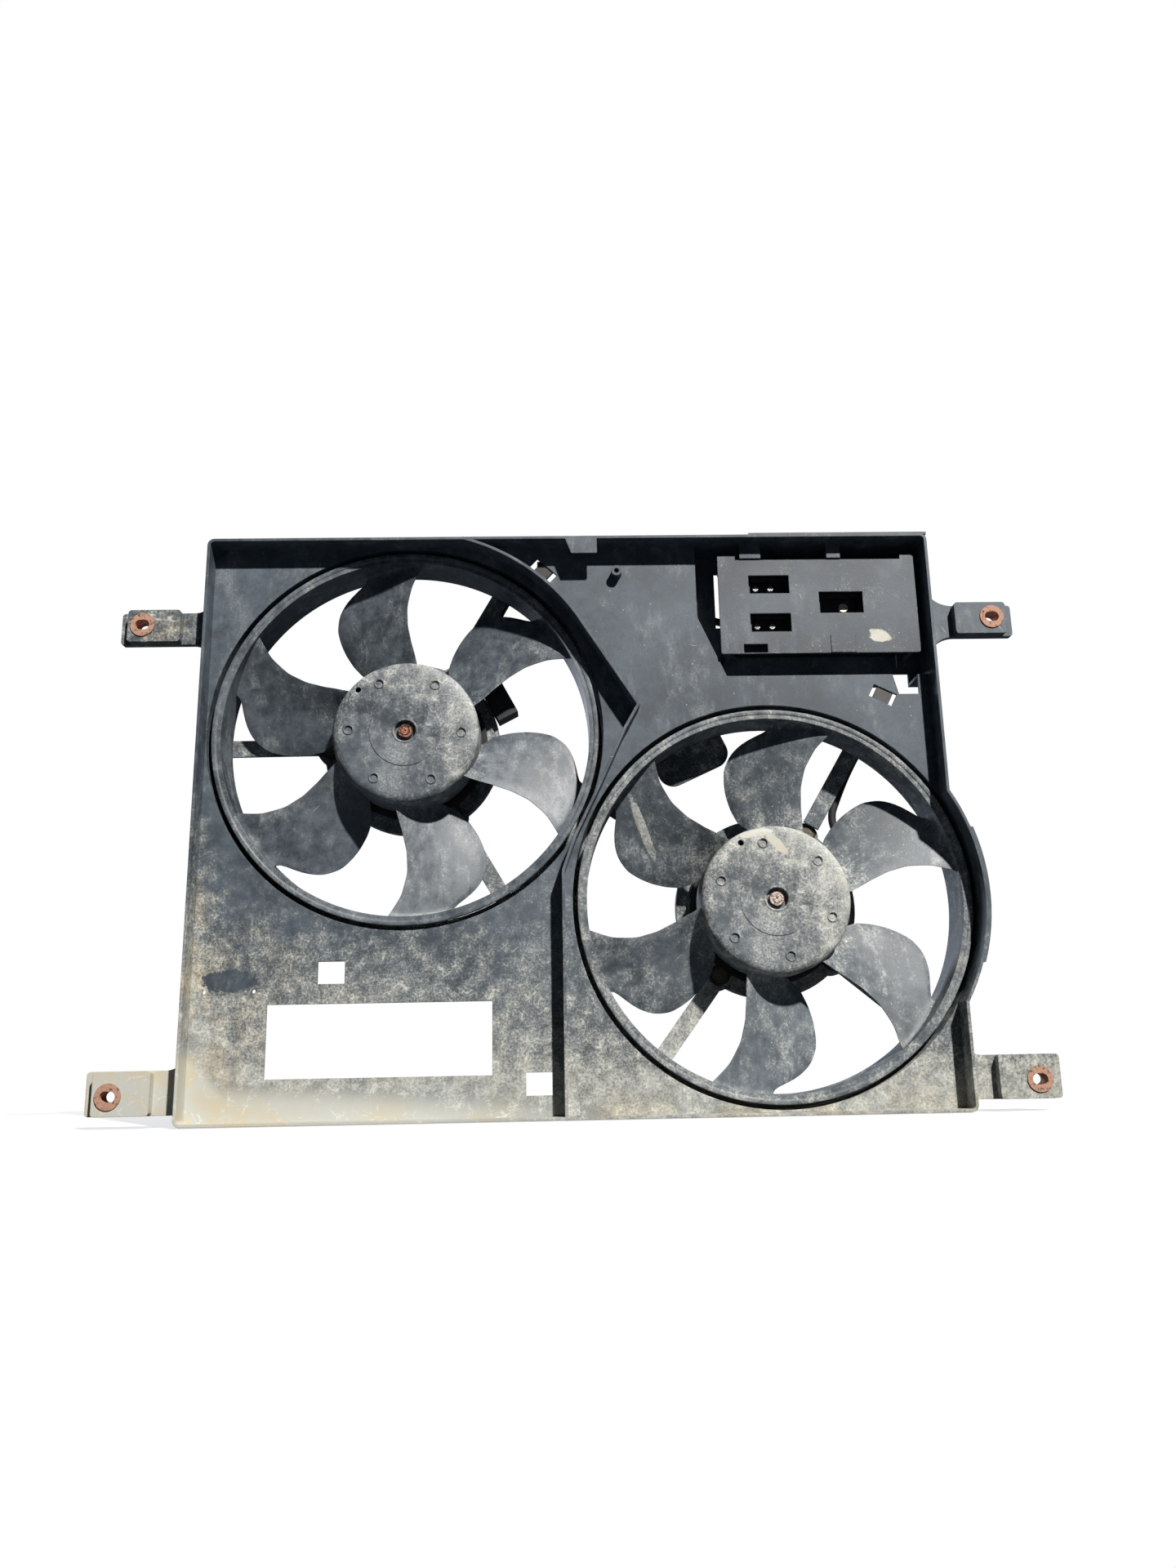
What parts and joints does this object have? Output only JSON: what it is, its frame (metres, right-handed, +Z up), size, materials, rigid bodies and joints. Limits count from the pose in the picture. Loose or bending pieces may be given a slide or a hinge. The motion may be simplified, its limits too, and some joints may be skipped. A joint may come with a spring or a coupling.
{
  "type": "radiator cooling fan",
  "caption": "Twin-fan radiator cooling module: moulded shroud with banded rotors on electric motors, a control unit behind a slotted cover and bushed mounting ears.",
  "frame": {"origin": "middle of the four ear bolts, on the front faces of the ear bushes", "axes": "+X across the module to the right seen from the radiator, +Y from the radiator to the engine, +Z up"},
  "size_m": [0.796, 0.101, 0.5047],
  "materials": {
    "shroud_nylon": "weathered black glass-filled nylon, dusty",
    "cover_nylon": "weathered black nylon",
    "rotor_nylon": "weathered black glass-filled nylon, dusty",
    "module_plastic": "black moulded housing",
    "plug_plastic": "black moulded connector",
    "rusty_steel": "rusted steel bush",
    "terminal_brass": "plated terminals",
    "zinc_steel": "zinc plated",
    "shaft_steel": "ground steel with light rust",
    "insert_steel": "lightly rusted",
    "spring_steel": "lightly rusted",
    "can_steel": "black e-coat",
    "bearing_steel": "ground",
    "ferrite": "sintered ferrite",
    "phenolic": "phenolic board",
    "carbon": "carbon brush",
    "isolator_rubber": "black rubber",
    "lead_sleeve": "black woven and taped sleeve",
    "lamination_steel": "laminated electrical steel",
    "winding_copper": "enamelled copper wire",
    "commutator_copper": "copper segments"
  },
  "bodies": {
    "root": {"shroud": "shroud_nylon", "lead_clips": "plug_plastic", "ear_bushes": "rusty_steel", "module_cover": "cover_nylon", "control_module": "module_plastic", "module_pins": "terminal_brass", "module_screws": "zinc_steel", "left_motor_can": "can_steel", "left_motor_end_cap": "can_steel", "left_front_bearing": "bearing_steel", "left_rear_bearing": "bearing_steel", "left_motor_magnets": "ferrite", "left_brush_plate": "phenolic", "left_motor_brushes": "carbon", "left_motor_bracket": "can_steel", "left_motor_isolators": "isolator_rubber", "left_motor_screws": "zinc_steel", "left_motor_connector": "plug_plastic", "left_motor_lead": "lead_sleeve", "right_motor_can": "can_steel", "right_motor_end_cap": "can_steel", "right_front_bearing": "bearing_steel", "right_rear_bearing": "bearing_steel", "right_motor_magnets": "ferrite", "right_brush_plate": "phenolic", "right_motor_brushes": "carbon", "right_motor_bracket": "can_steel", "right_motor_isolators": "isolator_rubber", "right_motor_screws": "zinc_steel", "right_motor_connector": "plug_plastic", "right_motor_lead": "lead_sleeve"},
    "left_rotor": {"left_fan_rotor": "rotor_nylon", "left_motor_shaft": "shaft_steel", "left_hub_insert": "insert_steel", "left_hub_clip": "spring_steel", "left_armature_core": "lamination_steel", "left_armature_windings": "winding_copper", "left_commutator": "commutator_copper"},
    "right_rotor": {"right_fan_rotor": "rotor_nylon", "right_motor_shaft": "shaft_steel", "right_hub_insert": "insert_steel", "right_hub_clip": "spring_steel", "right_armature_core": "lamination_steel", "right_armature_windings": "winding_copper", "right_commutator": "commutator_copper"}
  },
  "joints": [
    {"name": "left_fan_spin", "type": "hinge", "parent": "root", "child": "left_rotor", "pos_m": [-0.1455, 0, 0.102], "axis": [0, 1, 0], "continuous": true},
    {"name": "right_fan_spin", "type": "hinge", "parent": "root", "child": "right_rotor", "pos_m": [0.1704, 0, -0.0494], "axis": [0, 1, 0], "continuous": true}
  ]
}
